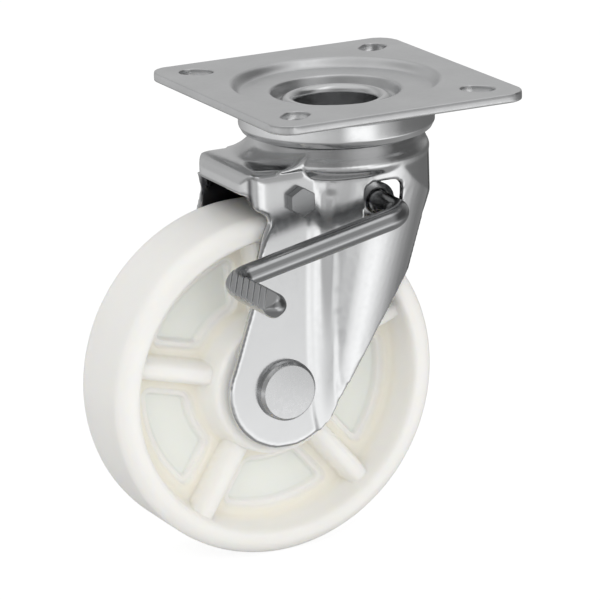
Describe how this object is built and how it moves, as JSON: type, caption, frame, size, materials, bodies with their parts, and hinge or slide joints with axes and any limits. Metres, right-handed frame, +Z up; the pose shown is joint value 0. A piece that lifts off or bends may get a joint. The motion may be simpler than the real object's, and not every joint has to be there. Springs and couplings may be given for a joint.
{
  "type": "braked swivel castor",
  "caption": "Heavy swivel castor with a flat mounting plate, double ball swivel head, pressed steel fork, ribbed nylon wheel on ball bearings and a side rod wheel brake.",
  "frame": {"origin": "centre of the mounting plate's top face, on the swivel axis", "axes": "+Z up out of the plate's top face, -X the way the wheel trails, -Y the side the brake lever is on"},
  "size_m": [0.1755, 0.1594, 0.1995],
  "materials": {
    "zinc_sheet": "bright zinc plated pressed sheet",
    "bright_steel": "bright zinc plated turned steel",
    "zinc_rod": "bright zinc plated bent rod",
    "bearing_steel": "ground and hardened",
    "spring_steel": "oiled wire",
    "black_plate": "matte black",
    "ivory_nylon": "satin, slightly translucent where thin"
  },
  "bodies": {
    "plate": {"mounting_plate": "zinc_sheet", "upper_race": "bright_steel", "hollow_kingpin": "bright_steel"},
    "upper_ball_row": {"upper_balls": "bearing_steel"},
    "lower_ball_row": {"lower_balls": "bearing_steel"},
    "fork": {"fork": "zinc_sheet", "brake_bracket": "zinc_sheet", "brake_pivot_bolt": "bright_steel", "brake_pivot_nut": "bright_steel", "axle_bolt": "bright_steel", "axle_nut": "bright_steel", "axle_washer": "bright_steel", "axle_sleeve": "bright_steel", "right_spacer": "bright_steel", "left_spacer": "bright_steel", "right_bearing_inner": "bearing_steel", "left_bearing_inner": "bearing_steel"},
    "wheel": {"wheel": "ivory_nylon", "right_bearing_outer": "bearing_steel", "left_bearing_outer": "bearing_steel", "right_bearing_shield": "black_plate", "left_bearing_shield": "black_plate"},
    "wheel_balls": {"right_bearing_balls": "bearing_steel", "left_bearing_balls": "bearing_steel"},
    "brake_lever": {"brake_lever": "zinc_rod", "lever_clip": "spring_steel"},
    "brake_shoe": {"brake_shoe": "zinc_sheet", "shoe_spring": "spring_steel"}
  },
  "joints": [
    {"name": "swivel", "type": "hinge", "parent": "plate", "child": "fork", "pos_m": [0, 0, 0], "axis": [0, 0, 1], "continuous": true},
    {"name": "upper_row_roll", "type": "hinge", "parent": "plate", "child": "upper_ball_row", "pos_m": [0, 0, 0], "axis": [0, 0, 1], "continuous": true},
    {"name": "lower_row_roll", "type": "hinge", "parent": "plate", "child": "lower_ball_row", "pos_m": [0, 0, 0], "axis": [0, 0, 1], "continuous": true},
    {"name": "wheel_spin", "type": "hinge", "parent": "fork", "child": "wheel", "pos_m": [-0.0415, 0, -0.1245], "axis": [0, 1, 0], "continuous": true},
    {"name": "wheel_balls_roll", "type": "hinge", "parent": "fork", "child": "wheel_balls", "pos_m": [-0.0415, 0, -0.1245], "axis": [0, 1, 0], "continuous": true},
    {"name": "lever_turn", "type": "hinge", "parent": "fork", "child": "brake_lever", "pos_m": [0.00698, 0, -0.04927], "axis": [0, -1, 0], "range_deg": [0, 30]},
    {"name": "shoe_turn", "type": "hinge", "parent": "fork", "child": "brake_shoe", "pos_m": [-0.03188, 0, -0.04256], "axis": [0, 1, 0], "range_deg": [0, 2.33]}
  ],
  "couplings": [
    {"joint": "upper_row_roll", "follows": "swivel", "ratio": 0.5},
    {"joint": "lower_row_roll", "follows": "swivel", "ratio": 0.5},
    {"joint": "wheel_balls_roll", "follows": "wheel_spin", "ratio": 0.618},
    {"joint": "shoe_turn", "follows": "lever_turn", "ratio": 0.07595}
  ]
}
